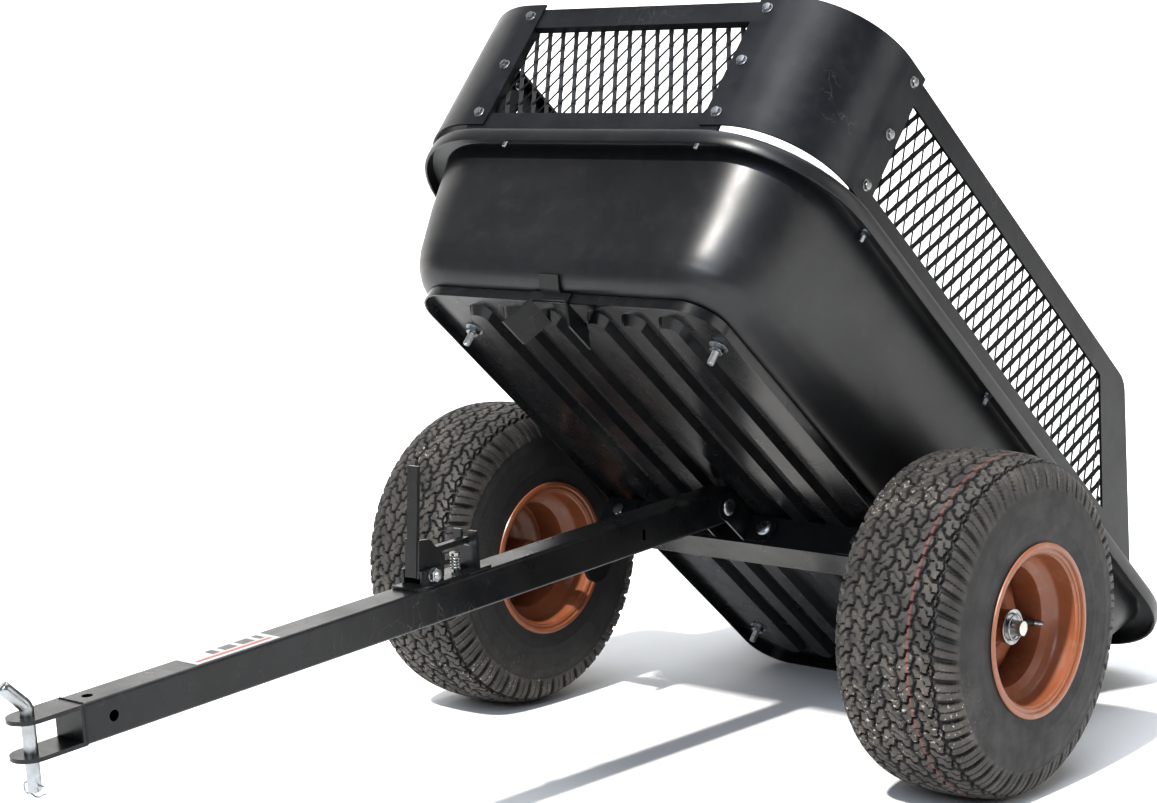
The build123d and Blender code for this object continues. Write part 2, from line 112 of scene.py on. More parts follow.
def mixc(nt, fac, a, b, mode="MIX"):
    m = nt.nodes.new("ShaderNodeMix")
    m.data_type = "RGBA"
    m.blend_type = mode
    for sock, v in ((m.inputs["Factor"], fac), (m.inputs["A"], a), (m.inputs["B"], b)):
        pass
    F, A, Bs = m.inputs[0], m.inputs[6], m.inputs[7]
    for sock, v in ((F, fac), (A, a), (Bs, b)):
        if hasattr(v, "is_output") or hasattr(v, "links"):
            nt.links.new(v, sock)
        else:
            sock.default_value = v
    return m.outputs[2]


def mathn(nt, op, a, b=None):
    m = nt.nodes.new("ShaderNodeMath")
    m.operation = op
    for i, v in enumerate((a, b)):
        if v is None:
            continue
        if hasattr(v, "links"):
            nt.links.new(v, m.inputs[i])
        else:
            m.inputs[i].default_value = v
    return m.outputs[0]


def bump(nt, b, src, strength, dist=0.001, prev=None):
    n = nt.nodes.new("ShaderNodeBump")
    n.inputs["Strength"].default_value = strength
    n.inputs["Distance"].default_value = dist
    nt.links.new(src, n.inputs["Height"])
    if prev is not None:
        nt.links.new(prev, n.inputs["Normal"])
    nt.links.new(n.outputs["Normal"], b.inputs["Normal"])
    return n.outputs["Normal"]


def scratches(nt, scale, lo, hi, sx=1.0):
    """thin random streaks"""
    tc = nt.nodes.new("ShaderNodeTexCoord")
    mp = nt.nodes.new("ShaderNodeMapping")
    mp.inputs["Scale"].default_value = (sx, 1.0, 0.35)
    mp.inputs["Rotation"].default_value = (0.3, 0.7, 0.4)
    nt.links.new(tc.outputs["Object"], mp.inputs["Vector"])
    n = nt.nodes.new("ShaderNodeTexVoronoi")
    n.feature = "DISTANCE_TO_EDGE"
    n.inputs["Scale"].default_value = scale
    w = nt.nodes.new("ShaderNodeTexNoise")
    w.inputs["Scale"].default_value = 9.0
    w.inputs["Detail"].default_value = 5.0
    nt.links.new(mp.outputs["Vector"], w.inputs["Vector"])
    va = nt.nodes.new("ShaderNodeVectorMath")
    va.operation = "MULTIPLY_ADD"
    va.inputs[1].default_value = (0.22, 0.22, 0.22)
    nt.links.new(w.outputs["Color"], va.inputs[0])
    nt.links.new(mp.outputs["Vector"], va.inputs[2])
    nt.links.new(va.outputs[0], n.inputs["Vector"])
    line = ramp(nt, n.outputs["Distance"], [(0.0, g(1)), (0.010, g(0))])
    patch = ramp(nt, noise(nt, 5.5, 4), [(lo, g(0)), (hi, g(1))])
    return mathn(nt, "MULTIPLY", line, patch)


def powder(name, base, rough, wear=1.0, bumpy=0.25, dust=0.10, coat=0.0):
    m, nt, b = new_mat(name)
    n1 = noise(nt, 6, 5)
    n2 = noise(nt, 60, 6)
    c = mixc(nt, ramp(nt, n1, [(0.35, g(0)), (0.7, g(1))]), (*base, 1), tuple(min(1, x * 1.45 + 0.001) for x in base) + (1,))
    dn = mathn(nt, "MULTIPLY", ramp(nt, n2, [(0.45, g(0)), (0.75, g(1))]), dust)
    c = mixc(nt, dn, c, (0.10, 0.095, 0.085, 1))
    sc = scratches(nt, 26, 0.56, 0.66)
    sc = mathn(nt, "MULTIPLY", sc, 0.35 * wear)
    c = mixc(nt, sc, c, (0.34, 0.33, 0.31, 1))
    nt.links.new(c, b.inputs["Base Color"])
    rr = ramp(nt, noise(nt, 14, 6), [(0.25, g(max(0.05, rough - 0.07))), (0.75, g(rough + 0.12))])
    nt.links.new(rr, b.inputs["Roughness"])
    b.inputs["Specular IOR Level"].default_value = 0.30
    b.inputs["Coat Weight"].default_value = coat
    b.inputs["Coat Roughness"].default_value = 0.18
    p = bump(nt, b, noise(nt, 700, 3), bumpy, 0.0004)
    bump(nt, b, noise(nt, 22, 3), 0.12, 0.002, p)
    return m


def plastic(name, base, rough):
    m, nt, b = new_mat(name)
    c = mixc(nt, ramp(nt, noise(nt, 5, 6), [(0.3, g(0)), (0.75, g(1))]), (*base, 1), tuple(x * 1.5 for x in base) + (1,))
    d = mathn(nt, "MULTIPLY", ramp(nt, noise(nt, 38, 8, 0.7), [(0.5, g(0)), (0.8, g(1))]), 0.045)
    c = mixc(nt, d, c, (0.2, 0.19, 0.17, 1))
    s = mathn(nt, "MULTIPLY", scratches(nt, 20, 0.58, 0.7), 0.12)
    c = mixc(nt, s, c, (0.25, 0.25, 0.24, 1))
    nt.links.new(c, b.inputs["Base Color"])
    nt.links.new(ramp(nt, noise(nt, 9, 6), [(0.25, g(rough - 0.05)), (0.75, g(rough + 0.10))]), b.inputs["Roughness"])
    p = bump(nt, b, noise(nt, 900, 2), 0.22, 0.0003)
    bump(nt, b, noise(nt, 7, 2), 0.10, 0.004, p)
    return m


def metal(name, base, rough, tint=(0.75, 0.72, 0.62)):
    m, nt, b = new_mat(name)
    c = mixc(nt, ramp(nt, noise(nt, 40, 5), [(0.35, g(0)), (0.7, g(1))]), (*base, 1), (*[x * y for x, y in zip(base, tint)], 1))
    c = mixc(nt, ramp(nt, noise(nt, 130, 8, 0.7), [(0.62, g(0)), (0.72, g(0.6))]), c, (0.22, 0.20, 0.17, 1))
    nt.links.new(c, b.inputs["Base Color"])
    b.inputs["Metallic"].default_value = 1.0
    nt.links.new(ramp(nt, noise(nt, 90, 6), [(0.3, g(rough - 0.08)), (0.7, g(rough + 0.15))]), b.inputs["Roughness"])
    bump(nt, b, noise(nt, 600, 4), 0.2, 0.0004)
    return m


def paint(name, base, rough):
    m, nt, b = new_mat(name)
    c = mixc(nt, ramp(nt, noise(nt, 8, 6), [(0.3, g(0)), (0.75, g(1))]), (*base, 1), tuple(x * 0.72 for x in base) + (1,))
    c = mixc(nt, mathn(nt, "MULTIPLY", ramp(nt, noise(nt, 45, 9, 0.7), [(0.52, g(0)), (0.74, g(1))]), 0.35), c, (0.30, 0.21, 0.14, 1))
    c = mixc(nt, mathn(nt, "MULTIPLY", scratches(nt, 30, 0.52, 0.64), 0.5), c, (0.12, 0.06, 0.035, 1))
    nt.links.new(c, b.inputs["Base Color"])
    nt.links.new(ramp(nt, noise(nt, 25, 6), [(0.25, g(rough - 0.08)), (0.75, g(rough + 0.14))]), b.inputs["Roughness"])
    b.inputs["Coat Weight"].default_value = 0.25
    b.inputs["Coat Roughness"].default_value = 0.2
    p = bump(nt, b, noise(nt, 350, 3), 0.18, 0.0004)
    bump(nt, b, noise(nt, 16, 3), 0.12, 0.002, p)
    return m


def rubber_tyre(name, wheel_m, side):
    """dusty tread, cleaner dark sidewall; noise coordinates are the tyre mesh's own, in metres"""
    m, nt, b = new_mat(name)
    at = nt.nodes.new("ShaderNodeAttribute")
    at.attribute_name = "tread"
    tr = nt.nodes.new("ShaderNodeSeparateColor")
    nt.links.new(at.outputs["Color"], tr.inputs[0])
    base = mixc(nt, ramp(nt, noise(nt, 11, 6), [(0.3, g(0)), (0.75, g(1))]), (0.0100, 0.0104, 0.0112, 1), (0.019, 0.019, 0.0195, 1))
    # dust: on raised blocks and in patches
    dn = ramp(nt, noise(nt, 26, 9, 0.72), [(0.38, g(0.12)), (0.72, g(1))])
    big = ramp(nt, noise(nt, 5.0, 5), [(0.38, g(0.35)), (0.66, g(1))])
    dt = mathn(nt, "MULTIPLY", mathn(nt, "MULTIPLY", tr.outputs[0], mathn(nt, "MULTIPLY", dn, big)), 0.60)
    base = mixc(nt, dt, base, (0.175, 0.15, 0.125, 1))
    # groove floors darker still: painted shade in the grooves, deeper grooves darker
    base = mixc(nt, mathn(nt, "MULTIPLY", tr.outputs[1], 0.75), base, (0.009, 0.009, 0.009, 1))
    # light grit
    gr = ramp(nt, noise(nt, 190, 4, 0.6), [(0.61, g(0)), (0.66, g(1))])
    gp = ramp(nt, noise(nt, 5, 3), [(0.52, g(0)), (0.64, g(1))])
    base = mixc(nt, mathn(nt, "MULTIPLY", mathn(nt, "MULTIPLY", gr, gp), mathn(nt, "MULTIPLY", tr.outputs[0], 0.7)), base, (0.55, 0.52, 0.47, 1))
    # thin red paint line of the mould
    base = mixc(nt, mathn(nt, "MULTIPLY", tr.outputs[2], 0.28), base, (0.30, 0.045, 0.035, 1))
    nt.links.new(base, b.inputs["Base Color"])
    nt.links.new(ramp(nt, noise(nt, 30, 6), [(0.25, g(0.52)), (0.75, g(0.78))]), b.inputs["Roughness"])
    p = bump(nt, b, noise(nt, 420, 5), 0.35, 0.0005)
    bump(nt, b, noise(nt, 60, 5), 0.25, 0.0010, p)
    return m


M = {}
M["tub_plastic"] = plastic("tub_plastic", (0.0066, 0.0070, 0.0080), 0.34)
M["pan_steel"] = powder("pan_steel", (0.0058, 0.0062, 0.0072), 0.24, 0.6, 0.18, 0.06, 0.25)
M["frame_steel"] = powder("frame_steel", (0.0050, 0.0058, 0.0078), 0.33, 0.7, 0.22, 0.05, 0.10)
M["mesh_steel"] = powder("mesh_steel", (0.0045, 0.0048, 0.0054), 0.48, 0.2, 0.2, 0.02)
M["tongue_steel"] = powder("tongue_steel", (0.0052, 0.0056, 0.0064), 0.28, 0.6, 0.18, 0.045, 0.15)
M["zinc"] = metal("zinc", (0.37, 0.39, 0.42), 0.27)
M["bearing"] = metal("bearing", (0.55, 0.55, 0.53), 0.34)
M["rim_paint"] = paint("rim_paint", (0.25, 0.084, 0.037), 0.38)
M["valve"] = plastic("valve", (0.014, 0.014, 0.014), 0.5)
M["tyre"] = rubber_tyre("tyre", None, 0)


def label_mat():
    m, nt, b = new_mat("label")
    tc = nt.nodes.new("ShaderNodeTexCoord")
    mp = nt.nodes.new("ShaderNodeMapping")
    nt.links.new(tc.outputs["Generated"], mp.inputs["Vector"])
    sp = nt.nodes.new("ShaderNodeSeparateXYZ")
    nt.links.new(mp.outputs["Vector"], sp.inputs[0])
    x, y = sp.outputs[0], sp.outputs[1]

    def band(src, a, c):
        return mathn(nt, "MULTIPLY", mathn(nt, "GREATER_THAN", src, a), mathn(nt, "LESS_THAN", src, c))
    col = (0.36, 0.36, 0.355, 1)
    dark = mathn(nt, "MULTIPLY", band(x, 0.12, 0.56), band(y, 0.30, 0.93))
    # gaps make it a row of plain blocks
    w = nt.nodes.new("ShaderNodeTexWave")
    w.wave_type = "BANDS"
    w.bands_direction = "Y"
    w.inputs["Scale"].default_value = 1.5
    w.inputs["Distortion"].default_value = 0.0
    nt.links.new(mp.outputs["Vector"], w.inputs["Vector"])
    gap = mathn(nt, "GREATER_THAN", w.outputs["Fac"], 0.16)
    dark = mathn(nt, "MULTIPLY", dark, gap)
    c = mixc(nt, dark, col, (0.012, 0.012, 0.013, 1))
    red = mathn(nt, "MULTIPLY", band(x, 0.66, 0.84), band(y, 0.05, 0.95))
    c = mixc(nt, red, c, (0.24, 0.03, 0.025, 1))
    dirt = mathn(nt, "MULTIPLY", ramp(nt, noise(nt, 60, 8, 0.7), [(0.5, g(0)), (0.75, g(1))]), 0.4)
    c = mixc(nt, dirt, c, (0.35, 0.32, 0.28, 1))
    nt.links.new(c, b.inputs["Base Color"])
    nt.links.new(ramp(nt, noise(nt, 30, 5), [(0.3, g(0.25)), (0.7, g(0.42))]), b.inputs["Roughness"])
    bump(nt, b, noise(nt, 120, 3), 0.15, 0.0004)
    return m


M["label"] = label_mat()

SUB = {s["node"]: s["material_slot"] for s in frame["record"]["subparts"]}


def paint_cad(bevel=0.0006):
    for n, o in NODES.items():
        mat = M[SUB[n]]
        o.data.materials.clear()
        o.data.materials.append(mat)


def shade(o, angle=35):
    for p in o.data.polygons:
        p.use_smooth = True
    try:
        o.data.set_sharp_from_angle(angle=math.radians(angle))
    except Exception:
        pass


def make(name, verts, faces, mat, body, repl=(), xf=None, smooth=35, bev=0.0):
    """verts in mm in the space of xf"""
    me = bpy.data.meshes.new(name)
    T = MM @ (xf if xf is not None else Matrix.Identity(4))
    me.from_pydata([tuple(T @ Vector(v)) for v in verts], [], [tuple(f) for f in faces])
    me.validate()
    bm = bmesh.new()
    bm.from_mesh(me)
    bmesh.ops.recalc_face_normals(bm, faces=bm.faces)
    bm.to_mesh(me)
    bm.free()
    o = bpy.data.objects.new(name, me)
    bpy.context.scene.collection.objects.link(o)
    me.materials.append(M[mat] if isinstance(mat, str) else mat)
    if smooth is not None:
        shade(o, smooth)
    if bev:
        add_bevel(o, bev)
    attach(o, body)
    for r in repl:
        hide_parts(r)
    return o


def add_bevel(o, w, seg=2, ang=40):
    md = o.modifiers.new("edge", "BEVEL")
    md.width = w
    md.segments = seg
    md.limit_method = "ANGLE"
    md.angle_limit = math.radians(ang)
    md.harden_normals = False
    return md


# ------------------------------------------------------------------ mesh builders
class Geo:
    def __init__(self):
        self.v, self.f = [], []

    def add(self, vs, fs):
        k = len(self.v)
        self.v += [tuple(q) for q in vs]
        self.f += [tuple(i + k for i in f) for f in fs]

    def tube(self, pts, r, n=10, closed=False, caps=True):
        pts = [Vector(p) for p in pts]
        m = len(pts)
        rings = []
        t0 = (pts[1] - pts[0]).normalized()
        up = Vector((0, 0, 1)) if abs(t0.z) < 0.9 else Vector((1, 0, 0))
        nrm = (up - t0 * up.dot(t0)).normalized()
        vs = []
        for i, p in enumerate(pts):
            a = pts[(i - 1) % m] if (closed or i > 0) else p
            c = pts[(i + 1) % m] if (closed or i < m - 1) else p
            t = (c - a).normalized()
            nrm = (nrm - t * nrm.dot(t)).normalized()
            bn = t.cross(nrm)
            rr = r[i] if isinstance(r, (list, tuple)) else r
            for k in range(n):
                q = 2 * math.pi * k / n
                vs.append(p + nrm * (rr * math.cos(q)) + bn * (rr * math.sin(q)))
        fs = []
        lim = m if closed else m - 1
        for i in range(lim):
            j = (i + 1) % m
            for k in range(n):
                k2 = (k + 1) % n
                fs.append((i * n + k, i * n + k2, j * n + k2, j * n + k))
        if caps and not closed:
            fs.append(tuple(range(n))[::-1])
            fs.append(tuple((m - 1) * n + k for k in range(n)))
        self.add(vs, fs)

    def lathe(self, prof, n, xf, closed=False):
        """prof: (axial, radius) revolved about local Z of xf"""
        vs = []
        for (a, r) in prof:
            for k in range(n):
                q = 2 * math.pi * k / n
                vs.append(xf @ Vector((r * math.cos(q), r * math.sin(q), a)))
        fs = []
        m = len(prof)
        for i in range(m if closed else m - 1):
            j = (i + 1) % m
            for k in range(n):
                k2 = (k + 1) % n
                fs.append((i * n + k, i * n + k2, j * n + k2, j * n + k))
        if not closed:
            fs.append(tuple(range(n))[::-1])
            fs.append(tuple((m - 1) * n + k for k in range(n)))
        self.add(vs, fs)

    def hexhead(self, xf, af, h, c=0.8, hole=0.0):
        """hex head or nut with chamfered corners, base at local z 0"""
        R = af / math.sqrt(3)
        n = 24
        vs = []

        def ring(z, f):
            for k in range(n):
                q = 2 * math.pi * k / n
                qq = (q + math.pi / 6) % (math.pi / 3) - math.pi / 6
                hexr = (af / 2) / math.cos(qq)
                vs.append(xf @ Vector((f(hexr) * math.cos(q), f(hexr) * math.sin(q), z)))
        ring(0, lambda r: min(r, af / 2 * 1.06))
        ring(c * 0.6, lambda r: r)
        ring(h - c, lambda r: r)
        ring(h - c * 0.15, lambda r: min(r, af / 2 * 1.03))
        ring(h, lambda r: af / 2 * 0.93)
        fs = []
        for i in range(4):
            for k in range(n):
                k2 = (k + 1) % n
                fs.append((i * n + k, i * n + k2, (i + 1) * n + k2, (i + 1) * n + k))
        if hole > 0:
            for k in range(n):
                q = 2 * math.pi * k / n
                vs.append(xf @ Vector((hole * math.cos(q), hole * math.sin(q), h - 0.1)))
            for k in range(n):
                k2 = (k + 1) % n
                fs.append((4 * n + k, 4 * n + k2, 5 * n + k2, 5 * n + k))
            fs.append(tuple(range(5 * n, 6 * n)))
        else:
            fs.append(tuple(4 * n + k for k in range(n)))
        fs.append(tuple(range(n))[::-1])
        self.add(vs, fs)

    def box(self, lo, hi, xf=Matrix.Identity(4)):
        vs = [xf @ Vector((x, y, z)) for x in (lo[0], hi[0]) for y in (lo[1], hi[1]) for z in (lo[2], hi[2])]
        fs = [(0, 1, 3, 2), (4, 6, 7, 5), (0, 4, 5, 1), (2, 3, 7, 6), (0, 2, 6, 4), (1, 5, 7, 3)]
        self.add(vs, fs)


def axis_xf(p, d):
    """local Z along d at p"""
    d = Vector(d).normalized()
    return Matrix.Translation(Vector(p)) @ d.to_track_quat("Z", "Y").to_matrix().to_4x4()


def thread(geo, p, d, length, r, pitch=1.5, n=20, cham=True):
    prof = []
    z = 0.0
    k = 0
    steps = int(length / (pitch / 2))
    prof.append((0.0, r * 0.86))
    for i in range(1, steps):
        prof.append((i * pitch / 2, r if i % 2 else r - pitch * 0.38))
    prof.append((length - 0.3, r * 0.86))
    prof.append((length, r * 0.7))
    geo.lathe(prof, n, axis_xf(p, d))


def washer(geo, p, d, r, t, hole):
    geo.lathe([(0, hole), (0, r - 0.2), (0.2, r), (t - 0.2, r), (t, r - 0.3), (t, hole)], 28, axis_xf(p, d), closed=True)


# ------------------------------------------------------------------ tyre
def chaikin_profile():
    h = 92.5
    pts = [(90.9, 101.7), (90.9, 106), (90.9, 112), (91.0, 116), (91.6, 124), (92.3, 136), (92.5, 150), (92.0, 166), (90.8, 180),
           (87.8, 194), (83.4, 206), (77.0, 215.0), (68.0, 220.6), (55.5, 224.6), (42, 226.6), (28, 227.8), (14, 228.4), (0, 228.6)]
    pts = pts + [(-a, b) for a, b in reversed(pts[:-1])]
    P = np.array(pts, float)
    for _ in range(2):
        Q = [P[0]]
        for i in range(len(P) - 1):
            Q.append(P[i] * 0.75 + P[i + 1] * 0.25)
            Q.append(P[i] * 0.25 + P[i + 1] * 0.75)
        Q.append(P[-1])
        P = np.array(Q)
    return P


def build_tyre(side, spin, flip):
    P = chaikin_profile()
    seg = np.hypot(*(P[1:] - P[:-1]).T)
    s = np.concatenate([[0], np.cumsum(seg)])
    L = s[-1]
    mid = L / 2
    # sample positions: fine over the tread, coarser on the walls
    fine = 118.0
    samp = list(np.arange(-fine, fine + 0.1, 1.55))
    wall = list(np.arange(fine + 3.0, mid, 3.0)) + [mid]
    samp = [-w for w in reversed(wall)] + samp + wall
    S = np.array(samp)
    X = np.interp(S + mid, s, P[:, 0])
    R = np.interp(S + mid, s, P[:, 1])
    dX = np.gradient(X, S)
    dR = np.gradient(R, S)
    nl = np.hypot(dX, dR)
    nx, nr = -dR / nl, dX / nl
    sign = np.where(nr[len(nr) // 2] < 0, -1, 1)
    nx, nr = nx * sign, nr * sign
    NP = 47
    PERP = 18
    N = NP * PERP
    th = np.arange(N) / N
    T = th * NP
    TT, SS = np.meshgrid(T, S, indexing="ij")
    depth = np.zeros_like(SS)
    raised = np.zeros_like(SS)
    pitch = 2 * math.pi * TYRE_R / NP
    a = np.abs(SS)

    def tri(x):
        return 2 * np.abs(2 * (x - np.floor(x + 0.5))) - 1
    CW = 23.6
    NC = 6
    HALF = NC * CW / 2
    # zigzag column boundaries
    zz = 3.0 * tri(TT * 1.0)
    sc = SS + zz
    col = np.floor((sc + HALF) / CW)
    loc = (sc + HALF) / CW - col
    inb = (col >= 0) & (col < NC)
    sgn = np.where(col % 2 == 0, 1.0, -1.0)
    zstep = np.where(loc < 0.36, -0.5, np.where(loc > 0.64, 0.5, (loc - 0.5) / 0.28))
    ph = TT + sgn * 0.33 * zstep + np.where(col % 2 == 0, 0.0, 0.5) + 0.13 * col
    fr = ph - np.floor(ph)
    d1 = np.minimum(fr, 1 - fr) * pitch
    g1 = np.clip(2.4 - d1, 0, 1.0)
    fr2 = (ph + 0.5) - np.floor(ph + 0.5)
    d2 = np.minimum(fr2, 1 - fr2) * pitch
    g2 = np.clip(1.35 - d2, 0, 1.0) * (np.abs(loc - 0.5) < 0.42)
    dl = np.minimum(loc, 1 - loc) * CW
    g3 = np.clip(2.5 - dl, 0, 1.0)
    gro = np.maximum(np.maximum(g1 * 5.2, g2 * 3.0), g3 * 5.2)
    depth = np.where(inb, gro, depth)
    # shoulder lugs
    sh = (~inb) & (a < 112)
    half = np.where(SS > 0, 0.25, 0.6)
    phs = TT + half + 0.010 * (a - HALF) * np.where(SS > 0, 1, -1)
    fs_ = phs - np.floor(phs)
    ds = np.minimum(fs_, 1 - fs_) * pitch
    fade = np.clip((114 - a) / 14.0, 0, 1)
    gs = np.clip(4.0 - ds, 0, 1.4) / 1.4 * 5.4 * fade
    f2 = (phs + 0.5) - np.floor(phs + 0.5)
    dsb = np.minimum(f2, 1 - f2) * pitch
    gsb = np.clip(1.3 - dsb, 0, 1.0) * 2.4 * fade
    gs = np.maximum(gs, gsb)
    edge = np.clip(2.0 - np.abs(a - HALF - 1.5 - np.abs(zz)), 0, 1) * 4.6
    gs = np.maximum(gs, edge)
    depth = np.where(sh, gs, depth)
    # sidewall: shallow rings and a shoulder step
    side_h = np.zeros_like(SS)
    side_h += -0.9 * np.clip((a - 112) / 3.0, 0, 1)
    side_h += 0.7 * np.exp(-((a - 126) / 1.6) ** 2)
    side_h += 0.5 * np.exp(-((a - 160) / 2.0) ** 2)
    side_h += 0.9 * np.exp(-((a - 186) / 2.4) ** 2)
    side_h += 0.22 * np.sin(TT * 6.0) * np.exp(-((a - 119) / 5.0) ** 2)
    rel = -depth + np.where(a > 108, side_h, 0)
    xx = X[None, :] + nx[None, :] * rel
    rr = R[None, :] + nr[None, :] * rel
    ang = 2 * math.pi * th[:, None] + spin
    V = np.stack([xx * (-1 if flip else 1), rr * np.cos(ang), rr * np.sin(ang)], axis=-1)
    nS = len(S)
    verts = V.reshape(-1, 3)
    i = np.arange(N)[:, None] * nS
    i2 = ((np.arange(N) + 1) % N)[:, None] * nS
    j = np.arange(nS - 1)[None, :]
    F = np.stack([i + j, i + j + 1, i2 + j + 1, i2 + j], axis=-1).reshape(-1, 4)
    C = BED @ Matrix.Translation(Vector((side * TRACK / 2, WV, WW)))
    # the wheel's axes: local y,z turn with the bed, keep it simple
    Mx = np.array(MM @ C)
    W = np.c_[verts, np.ones(len(verts))] @ Mx.T
    me = bpy.data.meshes.new("tyre_mesh")
    me.vertices.add(len(W))
    me.vertices.foreach_set("co", W[:, :3].astype(np.float32).ravel())
    me.loops.add(F.size)
    me.loops.foreach_set("vertex_index", (F if not flip else F[:, ::-1]).astype(np.int32).ravel())
    me.polygons.add(len(F))
    me.polygons.foreach_set("loop_start", np.arange(0, F.size, 4, dtype=np.int32))
    me.polygons.foreach_set("loop_total", np.full(len(F), 4, dtype=np.int32))
    me.update(calc_edges=True)
    me.validate()
    at = me.color_attributes.new("tread", "FLOAT_COLOR", "POINT")
    top = np.where(a < 112, np.clip(1 - depth / 2.5, 0, 1), 0.10)
    top = np.where((a >= 112) & (a < 150), 0.22, top)
    # green channel: groove depth, the mask of the painted shade in the grooves
    flo = np.clip(depth / 5.0, 0, 1)
    red = (np.abs(SS + 40.0) < 1.5) & (side > 0)
    colr = np.stack([top, flo, red.astype(float), np.ones_like(top)], axis=-1).astype(np.float32)
    at.data.foreach_set("color", colr.ravel())
    o = bpy.data.objects.new("tyre_%s_tread" % ("left" if side > 0 else "right"), me)
    bpy.context.scene.collection.objects.link(o)
    me.materials.append(M["tyre"])
    for p in me.polygons:
        p.use_smooth = True
    o.data.set_sharp_from_angle(angle=math.radians(38))
    # make sure the faces point outwards
    me.update()
    c0 = Vector(W[:, :3].mean(axis=0))
    pp = me.polygons[(nS - 1) // 2]
    if (pp.center - c0).dot(pp.normal) < 0:
        me.flip_normals()
    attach(o, "wheel_left" if side > 0 else "wheel_right")
    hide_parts("tyre_left" if side > 0 else "tyre_right")
    return o


for sd in (1, -1):
    build_tyre(sd, 0.3 if sd > 0 else 1.1, sd < 0)


# ------------------------------------------------------------------ rims and hubs
def build_rim(side):
    G = Geo()
    # outward = +axial
    C = BED @ Matrix.Translation(Vector((side * TRACK / 2, WV, WW)))
    xf = C @ axis_xf((0, 0, 0), (side, 0, 0))
    outer = [(94.2, 109.0), (94.3, 112.2), (93.6, 114.6), (92.0, 115.3), (91.1, 114.6), (91.0, 111), (91.0, 103.5), (89.8, 101.8), (87, 101.5), (64, 101.0),
             (60, 99.5), (52, 88.0), (48, 83.0), (42, 82.0), (0, 82.0), (-42, 82.0), (-48, 83), (-52, 88), (-60, 99.5), (-64, 101), (-87, 101.5), (-89.8, 101.8), (-91, 103.5), (-91, 111),
             (-91.1, 114.6), (-92, 115.3), (-93.6, 114.6), (-94.3, 112.2), (-94.2, 109)]
    inner = [(-93.2, 107.8), (-91.6, 108.6), (-89.6, 106.0), (-88.8, 101), (-86.0, 98.8), (-63, 98.3), (-58, 96), (-50, 85.5), (-46, 80.4), (-41, 79.2), (0, 79.2), (41, 79.2), (46, 80.4), (50, 85.5),
             (58, 96.0), (63, 98.3), (86.0, 98.8), (88.8, 101.0), (89.6, 106.0), (91.6, 108.6), (93.2, 107.8)]
    G.lathe(outer + inner, 120, xf, closed=True)
    # disc with rolled steps
    disc = [(3.5, 79.5), (6.5, 78.2), (9.5, 74.0), (12.0, 69.0), (13.6, 64.0), (16.5, 60.5), (20.5, 57.5), (24.0, 53.0), (26.2, 46.0), (27.0, 38.0), (27.0, 32), (28.6, 27.0), (31.0, 24.4),
            (31.0, 22.1), (27.4, 22.1), (24.8, 26.0), (24.0, 38.0), (23.2, 45.0), (21.2, 51.0), (18.2, 54.8), (14.2, 58.0), (11.2, 62.2), (9.4, 67.4), (7.0, 71.6), (3.4, 75.2), (0.8, 76.5), (0.0, 79.5)]
    G.lathe(disc, 96, xf, closed=True)
    nm = "left" if side > 0 else "right"
    make("rim_%s_pressed" % nm, G.v, G.f, "rim_paint", "wheel_" + nm, ["rim_" + nm], smooth=32)
    # weld bead round the hub
    W = Geo()
    vs = []
    for k in range(72):
        q = 2 * math.pi * k / 72
        rr = 23.4 + 0.35 * math.sin(k * 2.3)
        vs.append(xf @ Vector((rr * math.cos(q), rr * math.sin(q), 31.2)))
    W.tube(vs, 1.6, 8, closed=True)
    make("hub_weld_" + nm, W.v, W.f, "rim_paint", "wheel_" + nm, smooth=60)
    # hub tube and bushing flanges
    Hh = Geo()
    Hh.lathe([(-50, 17.6), (-50, 21.2), (-49.3, 22), (48.3, 22), (49, 21.2), (49, 17.6), (46, 17.5), (-47, 17.5)], 64, xf, closed=True)
    make("hub_%s_tube" % nm, Hh.v, Hh.f, "rim_paint", "wheel_" + nm, ["hub_" + nm], smooth=40)
    # valve with cap
    Vv = Geo()
    va = math.radians(-98) + TILT
    loc = C @ Matrix.Rotation(va * 1.0, 4, "X")
    if side < 0:
        loc = C @ Matrix.Rotation(va * 1.0, 4, "X") @ Matrix.Scale(-1, 4, (1, 0, 0))
    d = Vector((math.sin(math.radians(52)), 0, math.cos(math.radians(52)))) * 1.0
    p0 = Vector((30, 0, 70)) + d * 1.0
    base = loc @ p0
    dirw = (loc.to_3x3() @ d).normalized()
    x2 = axis_xf(base, dirw)
    Vv.lathe([(-9, 5.0), (-3, 5.5), (-1, 5.5), (1.5, 4.9), (3, 3.9), (9, 3.6)], 24, x2)
    make("valve_%s_boot" % nm, Vv.v, Vv.f, "valve", "wheel_" + nm, ["valve_" + nm], smooth=40)
    Vc = Geo()
    Vc.lathe([(9, 3.3), (13.5, 3.3), (14, 3.8), (15, 3.8), (18.5, 3.7), (20, 3.4), (20.6, 2.6)], 22, x2)
    make("valve_%s_cap" % nm, Vc.v, Vc.f, "zinc", "wheel_" + nm, smooth=40)


for sd in (1, -1):
    build_rim(sd)


